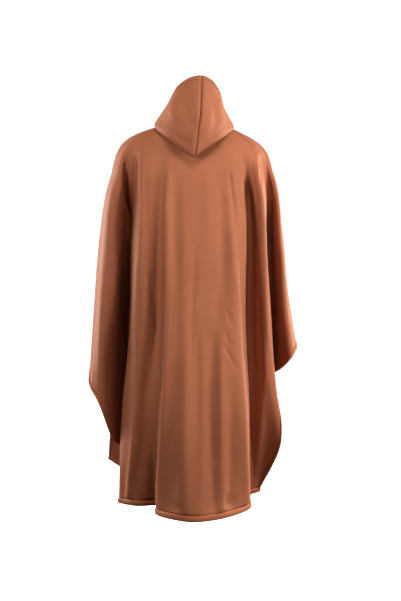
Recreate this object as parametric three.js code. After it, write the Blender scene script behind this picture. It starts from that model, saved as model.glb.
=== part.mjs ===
// Hooded farwa: a wide, open-fronted cape of bonded knit with its hood folded down,
// hanging as it does on a wearer's shoulders.
// Millimetres, +Z up, +X to the wearer's right, +Y the way the wearer faces.
// The origin is the middle of the neck opening, at shoulder height.
import * as THREE from "three";

// ---------- driving sizes ----------
const CLOTH = 4;                                   // wall of the bonded knit
const GAP = 0.3;                                   // between two pieces at a seam
const BAND_GAP = 0.7;                              // between a panel's edge and its band
const HEM_BAND = { width: 20, thick: 10 };         // puffy band along the bottom edges
const SIDE_BAND = { width: 11, thick: 7 };         // narrow binding up the open sides
const BAND_OVERHANG = { back: 8, front: 3 };       // bottom bands past the side corners
const RIM_TURN = { width: 24, extra: 3 };          // turned edge of the hood's face opening
const NECK = { rx: 95, ry: 85, rise: 15, drop: 80 };
const CAPE_ROWS = 18;                              // mesh rows, neck to hem
const HOOD_ROWS = 16;                              // mesh rows, neck to rim

// ---------- cape: one row a fold line, each running from the neckline to the edge ----------
// Depth down the fold: the neck, shoulder and hem carry their own height, the blade, waist
// and thigh points lie at these shares of the hem's.
const SHARE = { blade: 0.2, waist: 0.5, thigh: 0.78 };
const CAPE_STATIONS = [0, 0.1, 0.25, 0.53, 0.79, 1];
const CAPE = [
  // fold, neck angle, mesh columns on to the next fold, shoulder x y z, blade x y, waist x y,
  // thigh x y, hem x y z, and whether the edge turns a corner there
  ["front left opening", -164, 3, [-30, 112, -118], [-34, 150], [-42, 182], [-50, 215], [-56, 245, -1322]],
  ["front left flute", -152, 3, [-78, 118, -104], [-90, 165], [-100, 198], [-115, 235], [-125, 268, -1318]],
  ["front left dip", -141, 3, [-112, 114, -92], [-135, 145], [-150, 158], [-178, 182], [-208, 215, -1288]],
  ["front left corner", -131, 3, [-142, 108, -82], [-178, 150], [-200, 182], [-250, 225], [-328, 258, -1222], "corner"],
  ["front left side", -122, 3, [-168, 98, -72], [-205, 138], [-232, 160], [-268, 195], [-318, 240, -1110]],
  ["front left valley", -114, 3, [-190, 84, -62], [-232, 100], [-250, 78], [-252, 100], [-262, 138, -965]],
  ["front left sleeve", -106, 2, [-208, 66, -52], [-262, 84], [-295, 72], [-305, 92], [-312, 150, -880]],
  ["front left wing", -98, 2, [-223, 40, -44], [-285, 58], [-328, 68], [-347, 82], [-354, 112, -812]],
  ["left seam", -90, 2, [-236, 0, -37], [-300, 0], [-340, 5], [-357, 5], [-377, 0, -894]],
  ["left wing", -83, 3, [-222, -42, -42], [-283, -74], [-319, -76], [-334, -82], [-338, -64, -966]],
  ["left sleeve", -77, 2, [-214, -64, -47], [-261, -88], [-279, -84], [-303, -62], [-296, -30, -1090]],
  ["left valley", -71, 3, [-203, -82, -54], [-236, -44], [-262, 18], [-272, 38], [-264, 50, -1142]],
  ["left valley turn", -66, 3, [-195, -93, -57], [-218, -48], [-248, 28], [-246, 70], [-238, 88, -1192]],
  ["left inside", -61, 3, [-186, -102, -58], [-206, -96], [-228, -36], [-226, 10], [-222, 56, -1254]],
  ["back left corner", -54, 3, [-170, -112, -58], [-197, -144], [-216, -142], [-258, -66], [-271, 8, -1336], "corner"],
  ["left flute", -45, 3, [-142, -122, -58], [-172, -168], [-176, -188], [-205, -144], [-205, -70, -1329]],
  ["left dip", -34, 3, [-108, -130, -58], [-122, -168], [-132, -165], [-150, -150], [-112, -66, -1329]],
  ["left ridge", -25, 3, [-80, -134, -58], [-96, -186], [-93, -218], [-113, -222], [-134, -154, -1339]],
  ["left of centre", -13, 2, [-42, -137, -57], [-50, -190], [-45, -228], [-60, -252], [-72, -240, -1340]],
  ["centre back", 0, 3, [0, -138, -57], [2, -190], [4, -229], [4, -262], [0, -273, -1341]],
  ["right of centre", 17, 3, [55, -136, -58], [75, -184], [75, -224], [85, -252], [100, -236, -1336]],
  ["right ridge", 36, 3, [118, -128, -60], [157, -165], [142, -205], [175, -200], [194, -90, -1332]],
  ["right dip", 48, 3, [150, -118, -62], [188, -106], [193, -80], [197, -54], [172, 20, -1318]],
  ["back right corner", 55, 2, [168, -110, -64], [209, -126], [223, -104], [234, -66], [231, 58, -1305], "corner"],
  ["right side", 61, 3, [179, -100, -64], [218, -142], [238, -126], [260, -100], [306, -44, -1107]],
  ["right flute", 67, 3, [189, -88, -62], [227, -136], [250, -116], [270, -88], [288, -46, -952]],
  ["right inside", 71, 2, [196, -79, -58], [238, -102], [246, -56], [256, -30], [268, 22, -916]],
  ["right valley", 75, 3, [202, -70, -55], [246, -66], [251, 4], [250, 44], [240, 86, -900]],
  ["right valley turn", 79, 3, [207, -58, -53], [256, -56], [266, 8], [272, 48], [268, 96, -884]],
  ["right sleeve", 83, 3, [211, -43, -54], [264, -60], [290, -62], [303, -56], [308, 4, -850]],
  ["right wing", 87, 3, [218, -28, -52], [273, -54], [304, -66], [323, -68], [338, -46, -811]],
  ["right seam", 90, 2, [222, 0, -52], [272, 5], [310, 10], [331, 12], [363, 12, -770]],
  ["front right wing", 98, 2, [210, 40, -56], [260, 58], [300, 70], [322, 85], [342, 118, -764]],
  ["front right sleeve", 106, 3, [198, 66, -60], [240, 84], [270, 76], [285, 98], [300, 155, -860]],
  ["front right valley", 114, 3, [182, 84, -66], [216, 100], [232, 82], [236, 108], [242, 145, -950]],
  ["front right side", 122, 3, [160, 98, -74], [192, 138], [220, 165], [250, 200], [285, 245, -1115]],
  ["front right corner", 131, 3, [135, 108, -84], [166, 150], [190, 186], [232, 232], [280, 270, -1240], "corner"],
  ["front right dip", 141, 3, [106, 114, -94], [128, 145], [142, 160], [165, 188], [180, 222, -1290]],
  ["front right flute", 152, 3, [74, 118, -105], [88, 165], [98, 200], [108, 240], [115, 275, -1312]],
  ["front right opening", 164, 0, [30, 112, -118], [36, 150], [46, 185], [54, 220], [60, 252, -1318]],
];

// ---------- hood: one row a station round the neck, each running from the neckline to the rim ----------
// The cloth rolls up off the neckline, hangs down behind to a fold, and comes back up to the rim.
const HOOD_STATIONS = [0, 0.1, 0.3, 0.5, 0.76, 1];
const HOOD = [
  // station, neck angle, mesh columns on to the next, roll x y z, under, fold, outside, rim
  ["front left", -164, 3, [-27, 90, -52], [-29, 95, -44], [-31, 99, -36], [-31, 102, -27], [-29, 103, -18]],
  ["left collar", -128, 3, [-78, 60, -8], [-90, 72, -6], [-104, 80, -4], [-100, 72, 22], [-84, 60, 48]],
  ["left shoulder", -106, 2, [-97, 24, 28], [-108, 18, 30], [-121, 4, 27], [-107, 4, 54], [-88, 8, 84]],
  ["left tip", -82, 3, [-98, -10, 34], [-116, -34, 28], [-138, -70, 4], [-110, -62, 54], [-78, -42, 106]],
  ["left back", -52, 3, [-75, -62, 38], [-84, -112, 20], [-88, -150, -46], [-82, -142, 52], [-54, -84, 143]],
  ["near left", -22, 3, [-32, -92, 40], [-34, -140, 6], [-36, -178, -90], [-28, -184, 44], [-12, -102, 168]],
  ["seam", 0, 3, [0, -97, 40], [-1, -146, 2], [0, -186, -106], [21, -196, 44], [25, -107, 173]],
  ["near right", 22, 3, [32, -92, 40], [34, -140, 6], [34, -178, -82], [51, -183, 46], [56, -98, 160]],
  ["right back", 52, 3, [75, -62, 38], [84, -112, 18], [86, -150, -46], [90, -142, 50], [82, -78, 128]],
  ["right tip", 82, 2, [98, -10, 34], [116, -34, 26], [134, -70, -3], [107, -60, 54], [90, -38, 98]],
  ["right shoulder", 106, 3, [97, 24, 28], [108, 18, 30], [119, 4, 26], [107, 4, 52], [90, 10, 77]],
  ["right collar", 128, 3, [78, 60, -8], [90, 72, -6], [102, 80, -6], [100, 72, 18], [84, 60, 42]],
  ["front right", 164, 0, [27, 90, -52], [29, 95, -44], [31, 99, -36], [31, 102, -27], [29, 103, -20]],
];

// ---------- curves and surfaces ----------
const vec = (p) => new THREE.Vector3(p[0], p[1], p[2]);
const mix = (a, b, w) => a.clone().lerp(b, w);
const along = (p, dir, d) => p.clone().addScaledVector(dir, d);
const smoothstep = (a, b, x) => {
  const u = Math.min(1, Math.max(0, (x - a) / (b - a)));
  return u * u * (3 - 2 * u);
};

function neckPoint(degrees) {
  const a = (degrees * Math.PI) / 180;
  const fall = Math.max(0, -Math.cos(a)) ** 1.5;
  return new THREE.Vector3(NECK.rx * Math.sin(a), -NECK.ry * Math.cos(a), NECK.rise - NECK.drop * fall);
}

// Smooth curve through points at the given knots. Where corner(i) is above 0 the curve
// turns there instead of rounding it, fully at 1.
function curve(knots, points, s, corner = () => 0) {
  const last = points.length - 1;
  let i = 0;
  while (i < last - 1 && s >= knots[i + 1]) i += 1;
  const chord = (k) => points[k + 1].clone().sub(points[k]).divideScalar(knots[k + 1] - knots[k]);
  const inner = (k) => {
    const before = knots[k] - knots[k - 1];
    const after = knots[k + 1] - knots[k];
    return mix(chord(k - 1), chord(k), before / (before + after));
  };
  const slope = (k, side) => {
    if (k === 0) return chord(0).multiplyScalar(1.5).addScaledVector(inner(1), -0.5);
    if (k === last) return chord(last - 1).multiplyScalar(1.5).addScaledVector(inner(last - 1), -0.5);
    return mix(inner(k), chord(side), corner(k));
  };
  const h = knots[i + 1] - knots[i];
  const u = (s - knots[i]) / h;
  return points[i].clone().multiplyScalar(2 * u ** 3 - 3 * u ** 2 + 1)
    .addScaledVector(slope(i, i), (u ** 3 - 2 * u ** 2 + u) * h)
    .addScaledVector(points[i + 1], 3 * u ** 2 - 2 * u ** 3)
    .addScaledVector(slope(i + 1, i), (u ** 3 - u ** 2) * h);
}

// A surface through rows of points: at(s, t) with s across the rows and t along them.
function surface(rows, stations, cornerRows = []) {
  const knots = [0];
  for (let i = 1; i < rows.length; i += 1) {
    let apart = 0;
    for (let j = 1; j < stations.length; j += 1) apart += rows[i][j].distanceTo(rows[i - 1][j]);
    knots.push(knots[i - 1] + Math.sqrt(apart / (stations.length - 1)));
  }
  const at = (s, t) => {
    const ring = rows.map((row) => curve(stations, row, t));
    const turn = smoothstep(0.82, 1, t);
    return curve(knots, ring, s, (i) => (cornerRows.includes(i) ? turn : 0));
  };
  const step = 0.002;
  const across = (s, t) => at(Math.min(s + step, knots.at(-1)), t).sub(at(Math.max(s - step, 0), t)).normalize();
  const down = (s, t) => at(s, Math.min(t + step, 1)).sub(at(s, Math.max(t - step, 0))).normalize();
  const normal = (s, t) => down(s, t).cross(across(s, t)).normalize();
  return { at, across, down, normal, knots };
}

// ---------- solids ----------
function meshOf(name, vertices, triangles, colour) {
  let volume = 0;
  for (const [a, b, c] of triangles) volume += vertices[a].dot(vertices[b].clone().cross(vertices[c]));
  const index = volume > 0 ? triangles : triangles.map(([a, b, c]) => [a, c, b]);
  const geometry = new THREE.BufferGeometry();
  geometry.setAttribute("position", new THREE.Float32BufferAttribute(vertices.flatMap((v) => v.toArray()), 3));
  geometry.setIndex(index.flat());
  geometry.computeVertexNormals();
  const mesh = new THREE.Mesh(geometry, new THREE.MeshStandardMaterial({ color: colour, roughness: 0.8 }));
  mesh.name = name;
  return mesh;
}

// A wall between two matching grids of points, closed all round its edge.
function wall(name, outer, inner, colour) {
  const columns = outer.length;
  const rows = outer[0].length;
  const vertices = [...outer.flat(), ...inner.flat()];
  const o = (i, j) => i * rows + j;
  const n = (i, j) => columns * rows + i * rows + j;
  const triangles = [];
  const quad = (a, b, c, d) => triangles.push([a, b, c], [a, c, d]);
  for (let i = 0; i < columns - 1; i += 1) {
    for (let j = 0; j < rows - 1; j += 1) {
      quad(o(i, j), o(i + 1, j), o(i + 1, j + 1), o(i, j + 1));
      quad(n(i, j), n(i, j + 1), n(i + 1, j + 1), n(i + 1, j));
    }
    quad(o(i, 0), n(i, 0), n(i + 1, 0), o(i + 1, 0));
    quad(o(i, rows - 1), o(i + 1, rows - 1), n(i + 1, rows - 1), n(i, rows - 1));
  }
  for (let j = 0; j < rows - 1; j += 1) {
    quad(o(0, j), o(0, j + 1), n(0, j + 1), n(0, j));
    quad(o(columns - 1, j), n(columns - 1, j), n(columns - 1, j + 1), o(columns - 1, j + 1));
  }
  return meshOf(name, vertices, triangles, colour);
}

// A bar through matching closed sections, capped at both ends.
function bar(name, sections, colour) {
  const sides = sections[0].length;
  const vertices = sections.flat();
  const triangles = [];
  for (let k = 0; k < sections.length - 1; k += 1) {
    for (let i = 0; i < sides; i += 1) {
      const a = k * sides + i;
      const b = k * sides + ((i + 1) % sides);
      triangles.push([a, b, b + sides], [a, b + sides, a + sides]);
    }
  }
  const end = (sections.length - 1) * sides;
  for (let i = 1; i < sides - 1; i += 1) triangles.push([0, i + 1, i], [end, end + i, end + i + 1]);
  return meshOf(name, vertices, triangles, colour);
}

// ---------- the cape ----------
const capeRows = CAPE.map(([, angle, , shoulder, blade, waist, thigh, hem]) => [
  neckPoint(angle), vec(shoulder),
  vec([...blade, hem[2] * SHARE.blade]), vec([...waist, hem[2] * SHARE.waist]),
  vec([...thigh, hem[2] * SHARE.thigh]), vec(hem),
]);
const fold = (name) => CAPE.findIndex((row) => row[0] === name);
const cape = surface(capeRows, CAPE_STATIONS, CAPE.flatMap((row, i) => (row[8] ? [i] : [])));
const capeT = Array.from({ length: CAPE_ROWS + 1 }, (_, j) => (j / CAPE_ROWS) ** 1.4);

function columnsBetween(table, knots, from, to) {
  const list = [];
  for (let i = from; i < to; i += 1) {
    const count = table[i][2];
    for (let k = 0; k < count; k += 1) {
      const u = k / count;
      const gathered = u - Math.sin(2 * Math.PI * u) / (2 * Math.PI);   // closer together by the folds
      list.push(knots[i] + (knots[i + 1] - knots[i]) * gathered);
    }
  }
  return [...list, knots[to]];
}

// Directions at the cape's lower edge: round it, down the cloth to it and through the cloth.
// side is -1 or 1 to look only one way, at a corner.
function edgeFrame(s, side = 0) {
  const e = 0.02;
  const round = cape.at(side < 0 ? s : s + e, 1).sub(cape.at(side > 0 ? s : s - e, 1)).normalize();
  const down = cape.down(s, 1);
  return { point: cape.at(s, 1), round, down, sine: Math.max(0.4, round.clone().cross(down).length()) };
}

// Share of the fold's length that a strip of this width takes up at the lower edge.
function stripShare(s, width, side = 0) {
  const length = cape.at(s, 1).distanceTo(cape.at(s, 0.99)) / 0.01;
  return width / (length * edgeFrame(s, side).sine);
}

// Neckline directions shared by the cape's top edge and the hood's bottom edge.
function neckFrame(point) {
  const angle = Math.atan2(point.x / NECK.rx, -point.y / NECK.ry) * (180 / Math.PI);
  const round = neckPoint(angle + 0.5).sub(neckPoint(angle - 0.5)).normalize();
  const outward = new THREE.Vector3(point.x / NECK.rx ** 2, point.y / NECK.ry ** 2, 0).normalize();
  return { outward, up: round.clone().cross(outward).multiplyScalar(-1).normalize() };
}

function capePanel(name, from, to, corners, colour) {
  const [first, last] = [fold(from), fold(to)];
  const columns = columnsBetween(CAPE, cape.knots, first, last);
  const cornerKnots = corners.map((corner) => cape.knots[fold(corner)]);
  const half = CLOTH / 2;
  const outer = [];
  const inner = [];
  columns.forEach((s, i) => {
    const seamShift = i === 0 ? GAP / 2 : i === columns.length - 1 ? -GAP / 2 : 0;
    const isCorner = cornerKnots.includes(s);
    const band = isBottom(s) ? HEM_BAND : SIDE_BAND;
    const end = 1 - stripShare(s, band.width + BAND_GAP);
    const rows = capeT.map((share, j) => {
      const t = share * end;
      const point = along(cape.at(s, t), cape.across(s, t), seamShift);
      if (j === 0) {
        const { outward, up } = neckFrame(point);
        return [along(point, up, -GAP), outward.multiplyScalar(1.2)];
      }
      if (isCorner && j === CAPE_ROWS) return [cornerInset(s), cape.normal(s, 1)];
      return [point, cape.normal(s, t)];
    });
    outer.push(rows.map(([p, d]) => along(p, d, half)));
    inner.push(rows.map(([p, d]) => along(p, d, -half)));
  });
  return wall(name, outer, inner, colour);
}

// The bottom edge runs between each pair of corners, and on to the front openings.
function isBottom(s) {
  const k = (name) => cape.knots[fold(name)];
  return s <= k("front left corner") || (s >= k("back left corner") && s <= k("back right corner"))
    || s >= k("front right corner");
}

// Where a corner's two edges lead, away from it: up the side and along the bottom.
function cornerEdges(s) {
  const sideIsBefore = !isBottom(s - 0.5);
  const before = edgeFrame(s, -1).round.multiplyScalar(-1);
  const after = edgeFrame(s, 1).round;
  const [side, bottom] = sideIsBefore ? [before, after] : [after, before];
  const cosine = side.dot(bottom);
  const sine = Math.sqrt(1 - cosine * cosine);
  const towardsBottom = sideIsBefore ? 1 : -1;
  return { side, bottom, towardsBottom, up: (HEM_BAND.width + 6 * GAP) / sine, into: (SIDE_BAND.width + 4 * GAP) / sine };
}

// The panel's own corner: on the line of the hem band's top, in from the side band.
function cornerInset(s) {
  const { side, bottom, towardsBottom, up, into } = cornerEdges(s);
  const corner = along(along(cape.at(s, 1), side, up), bottom, into);
  const bandTop = (k) => cape.at(k, 1 - stripShare(k, HEM_BAND.width + BAND_GAP, towardsBottom));
  const start = bandTop(s);
  const line = bandTop(s + towardsBottom * 0.5).sub(start).normalize();
  return along(start, line, corner.sub(start).dot(line));
}

// Section of a band: its depth across the strip and how far it swells there, rounded at the free edge.
const BAND_LEVELS = [[0, 0.6], [0.2, 1], [0.75, 1], [1, 0.55]];
const loop = (points) => [
  ...points.map(([p, d, h]) => along(p, d, -h)),
  ...[...points].reverse().map(([p, d, h]) => along(p, d, h)),
];

// The puffy band flattens where the cloth turns tightly.
function flattened(s, t) {
  const e = 0.25;
  const spread = cape.at(s - e, t).distanceTo(cape.at(s + e, t));
  return Math.max(CLOTH / 2, (0.45 * spread) / cape.normal(s - e, t).angleTo(cape.normal(s + e, t)));
}

function bandSection(s, { width, thick }, side, scale = 1) {
  const strip = stripShare(s, width, side);
  return loop(BAND_LEVELS.map(([depth, swell]) => {
    const t = 1 - strip * (1 - (0.5 + (depth - 0.5) * scale));
    return [cape.at(s, t), cape.normal(s, t), Math.min((thick / 2) * swell * scale, flattened(s, t))];
  }));
}

// Where a side band ends, on top of the hem band.
function stopSection(s, { thick }) {
  const { side, bottom, towardsBottom, up } = cornerEdges(s);
  const k = s - towardsBottom * 2;
  const upPanel = cape.at(k, 1 - stripShare(k, SIDE_BAND.width + BAND_GAP)).sub(cornerInset(s)).normalize();
  const top = along(along(cornerInset(s), bottom, -3 * GAP), upPanel, 3 * GAP);
  const edge = along(cape.at(s, 1), side, up);
  const through = cape.normal(s, 1);
  return loop(BAND_LEVELS.map(([depth, swell]) => [mix(top, edge, depth), through, (thick / 2) * swell]));
}

function edgeBand(name, from, to, size, ends, colour) {
  const columns = columnsBetween(CAPE, cape.knots, fold(from), fold(to));
  const last = columns.length - 1;
  const sections = columns.flatMap((s, i) => {
    if (i > 0 && i < last) return [bandSection(s, size, 0)];
    const side = i === 0 ? 1 : -1;
    const kind = ends[i === 0 ? 0 : 1];
    if (kind === "stop") return [stopSection(s, size)];
    const outwards = edgeFrame(s, side).round.multiplyScalar(-side);
    const place = (d, scale) => bandSection(s, size, side, scale).map((p) => along(p, outwards, d));
    if (kind === "seam") return [place(-GAP / 2, 1)];
    const past = BAND_OVERHANG[kind];
    const tail = [place(0, 1), place(past - 2, 0.97), place(past, 0.6)];
    return i === 0 ? tail.reverse() : tail;
  });
  return bar(name, sections, colour);
}

// ---------- the hood ----------
const hoodRows = HOOD.map(([, angle, , ...points]) => [neckPoint(angle), ...points.map(vec)]);
const hood = surface(hoodRows, HOOD_STATIONS);

function hoodHalf(name, from, to, colour) {
  const columns = columnsBetween(HOOD, hood.knots, from, to);
  const ts = Array.from({ length: HOOD_ROWS + 1 }, (_, j) => j / HOOD_ROWS);
  const outer = [];
  const inner = [];
  columns.forEach((s, i) => {
    const atSeam = (i === 0 && from > 0) || (i === columns.length - 1 && to < HOOD.length - 1);
    const seamShift = atSeam ? (i === 0 ? GAP / 2 : -GAP / 2) : 0;
    const rows = ts.map((t, j) => {
      const point = along(hood.at(s, t), hood.across(s, t), seamShift);
      if (j === 0) {
        const { outward, up } = neckFrame(hood.at(s, 0));
        return [along(point, up, GAP), outward, CLOTH / 2];
      }
      const reach = (1 - t) * 300;
      const turned = RIM_TURN.extra * (1 - smoothstep(RIM_TURN.width - 6, RIM_TURN.width + 2, reach));
      return [point, hood.normal(s, t), (CLOTH + turned) / 2];
    });
    outer.push(rows.map(([p, d, half]) => along(p, d, half)));
    inner.push(rows.map(([p, d, half]) => along(p, d, -half)));
  });
  return wall(name, outer, inner, colour);
}

// ---------- the garment ----------
const BROWN = 0xb0683f;
const BAND_BROWN = 0xa25c37;
const group = new THREE.Group();
group.name = "hooded_farwa";
const seam = HOOD.findIndex((row) => row[0] === "seam");
group.add(
  capePanel("back_panel", "left seam", "right seam", ["back left corner", "back right corner"], BROWN),
  capePanel("front_left_panel", "front left opening", "left seam", ["front left corner"], BROWN),
  capePanel("front_right_panel", "right seam", "front right opening", ["front right corner"], BROWN),
  hoodHalf("hood_left", 0, seam, BROWN),
  hoodHalf("hood_right", seam, HOOD.length - 1, BROWN),
  edgeBand("back_hem_band", "back left corner", "back right corner", HEM_BAND, ["back", "back"], BAND_BROWN),
  edgeBand("back_left_side_band", "left seam", "back left corner", SIDE_BAND, ["seam", "stop"], BAND_BROWN),
  edgeBand("back_right_side_band", "back right corner", "right seam", SIDE_BAND, ["stop", "seam"], BAND_BROWN),
  edgeBand("front_left_side_band", "front left corner", "left seam", SIDE_BAND, ["stop", "seam"], BAND_BROWN),
  edgeBand("front_left_hem_band", "front left opening", "front left corner", HEM_BAND, ["seam", "front"], BAND_BROWN),
  edgeBand("front_right_side_band", "right seam", "front right corner", SIDE_BAND, ["seam", "stop"], BAND_BROWN),
  edgeBand("front_right_hem_band", "front right corner", "front right opening", HEM_BAND, ["front", "seam"], BAND_BROWN),
);
export default group;
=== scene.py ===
"""Hooded farwa, a wide open-fronted cloak of bonded knit, made up piece by piece as it is sewn."""
import math

import bpy
import numpy as np
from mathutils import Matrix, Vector


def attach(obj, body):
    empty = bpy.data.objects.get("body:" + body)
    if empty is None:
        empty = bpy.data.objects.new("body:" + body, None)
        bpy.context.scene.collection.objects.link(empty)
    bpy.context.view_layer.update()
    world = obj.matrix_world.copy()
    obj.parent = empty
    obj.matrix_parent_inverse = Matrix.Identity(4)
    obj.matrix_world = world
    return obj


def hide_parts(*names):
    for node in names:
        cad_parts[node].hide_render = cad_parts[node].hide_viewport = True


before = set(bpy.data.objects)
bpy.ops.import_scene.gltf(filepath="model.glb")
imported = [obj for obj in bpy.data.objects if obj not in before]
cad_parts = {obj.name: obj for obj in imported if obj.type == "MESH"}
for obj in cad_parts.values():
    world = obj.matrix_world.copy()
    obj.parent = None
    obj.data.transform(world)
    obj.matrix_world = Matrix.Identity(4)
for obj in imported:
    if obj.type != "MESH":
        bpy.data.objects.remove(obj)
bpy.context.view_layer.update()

# ---------------------------------------------------------------- back panel
# One wide piece of bonded knit, soft-faced and 4 mm through, hanging from the neckline on
# the wearer's shoulders. It falls in long uneven folds that open out towards the hem, with
# one deep hollow on each side where the cloth turns in under the arm.
MM = 0.001
CLOTH_THICK = 4 * MM
SEAM_GAP = 0.3 * MM
NECK = {"wide": 95, "deep": 85, "rise": 15, "drop": 80, "curve": 1.5}
STATION = {"neck": 0, "shoulder": 0.1, "blade": 0.25, "waist": 0.53, "thigh": 0.79, "hem": 1}
SHARE_OF_DROP = {"blade": 0.2, "waist": 0.5, "thigh": 0.78}
# fold, neck angle, shoulder x y z, blade x y, waist x y, thigh x y, hem x y z
CAPE_FOLDS = [
    ("front left opening", -164, (-30, 112, -118), (-34, 150), (-42, 182), (-50, 215), (-56, 245, -1322)),
    ("front left flute", -152, (-78, 118, -104), (-90, 165), (-100, 198), (-115, 235), (-125, 268, -1318)),
    ("front left dip", -141, (-112, 114, -92), (-135, 145), (-150, 158), (-178, 182), (-208, 215, -1288)),
    ("front left corner", -131, (-142, 108, -82), (-178, 150), (-200, 182), (-250, 225), (-328, 258, -1222)),
    ("front left side", -122, (-168, 98, -72), (-205, 138), (-232, 160), (-268, 195), (-318, 240, -1110)),
    ("front left valley", -114, (-190, 84, -62), (-232, 100), (-250, 78), (-252, 100), (-262, 138, -965)),
    ("front left sleeve", -106, (-208, 66, -52), (-262, 84), (-295, 72), (-305, 92), (-312, 150, -880)),
    ("front left wing", -98, (-223, 40, -44), (-285, 58), (-328, 68), (-347, 82), (-354, 112, -812)),
    ("left seam", -90, (-236, 0, -37), (-300, 0), (-340, 5), (-357, 5), (-377, 0, -894)),
    ("left wing", -83, (-222, -42, -42), (-283, -74), (-319, -76), (-334, -82), (-338, -64, -966)),
    ("left sleeve", -77, (-214, -64, -47), (-261, -88), (-279, -84), (-303, -62), (-296, -30, -1090)),
    ("left valley", -71, (-203, -82, -54), (-236, -44), (-262, 18), (-272, 38), (-264, 50, -1142)),
    ("left valley turn", -66, (-195, -93, -57), (-218, -48), (-248, 28), (-246, 70), (-238, 88, -1192)),
    ("left inside", -61, (-186, -102, -58), (-206, -96), (-228, -36), (-226, 10), (-222, 56, -1254)),
    ("back left corner", -54, (-170, -112, -58), (-197, -144), (-216, -142), (-258, -66), (-271, 8, -1336)),
    ("left flute", -45, (-142, -122, -58), (-172, -168), (-176, -188), (-205, -144), (-205, -70, -1329)),
    ("left dip", -34, (-108, -130, -58), (-122, -168), (-132, -165), (-150, -150), (-112, -66, -1329)),
    ("left ridge", -25, (-80, -134, -58), (-96, -186), (-93, -218), (-113, -222), (-134, -154, -1339)),
    ("left of centre", -13, (-42, -137, -57), (-50, -190), (-45, -228), (-60, -252), (-72, -240, -1340)),
    ("centre back", 0, (0, -138, -57), (2, -190), (4, -229), (4, -262), (0, -273, -1341)),
    ("right of centre", 17, (55, -136, -58), (75, -184), (75, -224), (85, -252), (100, -236, -1336)),
    ("right ridge", 36, (118, -128, -60), (157, -165), (142, -205), (175, -200), (194, -90, -1332)),
    ("right dip", 48, (150, -118, -62), (188, -106), (193, -80), (197, -54), (172, 20, -1318)),
    ("back right corner", 55, (168, -110, -64), (209, -126), (223, -104), (234, -66), (231, 58, -1305)),
    ("right side", 61, (179, -100, -64), (218, -142), (238, -126), (260, -100), (306, -44, -1107)),
    ("right flute", 67, (189, -88, -62), (227, -136), (250, -116), (270, -88), (288, -46, -952)),
    ("right inside", 71, (196, -79, -58), (238, -102), (246, -56), (256, -30), (268, 22, -916)),
    ("right valley", 75, (202, -70, -55), (246, -66), (251, 4), (250, 44), (240, 86, -900)),
    ("right valley turn", 79, (207, -58, -53), (256, -56), (266, 8), (272, 48), (268, 96, -884)),
    ("right sleeve", 83, (211, -43, -54), (264, -60), (290, -62), (303, -56), (308, 4, -850)),
    ("right wing", 87, (218, -28, -52), (273, -54), (304, -66), (323, -68), (338, -46, -811)),
    ("right seam", 90, (222, 0, -52), (272, 5), (310, 10), (331, 12), (363, 12, -770)),
    ("front right wing", 98, (210, 40, -56), (260, 58), (300, 70), (322, 85), (342, 118, -764)),
    ("front right sleeve", 106, (198, 66, -60), (240, 84), (270, 76), (285, 98), (300, 155, -860)),
    ("front right valley", 114, (182, 84, -66), (216, 100), (232, 82), (236, 108), (242, 145, -950)),
    ("front right side", 122, (160, 98, -74), (192, 138), (220, 165), (250, 200), (285, 245, -1115)),
    ("front right corner", 131, (135, 108, -84), (166, 150), (190, 186), (232, 232), (280, 270, -1240)),
    ("front right dip", 141, (106, 114, -94), (128, 145), (142, 160), (165, 188), (180, 222, -1290)),
    ("front right flute", 152, (74, 118, -105), (88, 165), (98, 200), (108, 240), (115, 275, -1312)),
    ("front right opening", 164, (30, 112, -118), (36, 150), (46, 185), (54, 220), (60, 252, -1318)),
]


def ease(low, high, x):
    """A smooth change from 0 at low to 1 at high."""
    u = np.clip((x - low) / (high - low), 0, 1)
    return u * u * (3 - 2 * u)


def unit(v, least=1e-12):
    return v / np.maximum(np.linalg.norm(v, axis=-1, keepdims=True), least)


def neckline(degrees):
    """The sewn neckline: level round the back, dropping to the throat at the front."""
    a = math.radians(degrees)
    fall = max(0.0, -math.cos(a)) ** NECK["curve"]
    return (NECK["wide"] * math.sin(a), -NECK["deep"] * math.cos(a), NECK["rise"] - NECK["drop"] * fall)


def bend(h, u, start, start_slope, end, end_slope):
    """Hermite curve over a span h long, at u from 0 to 1."""
    return (
        (2 * u**3 - 3 * u**2 + 1) * start + (u**3 - 2 * u**2 + u) * h * start_slope
        + (3 * u**2 - 2 * u**3) * end + (u**3 - u**2) * h * end_slope
    )


def slopes(knots, values):
    """Slope of a smooth line at each of its knots."""
    gaps = np.diff(knots).reshape((-1,) + (1,) * (values.ndim - 1))
    chords = np.diff(values, axis=0) / gaps
    share = gaps[:-1] / (gaps[:-1] + gaps[1:])
    inner = chords[:-1] + (chords[1:] - chords[:-1]) * share
    first, last = 1.5 * chords[:1] - 0.5 * inner[:1], 1.5 * chords[-1:] - 0.5 * inner[-1:]
    return np.concatenate([first, inner, last])


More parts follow.
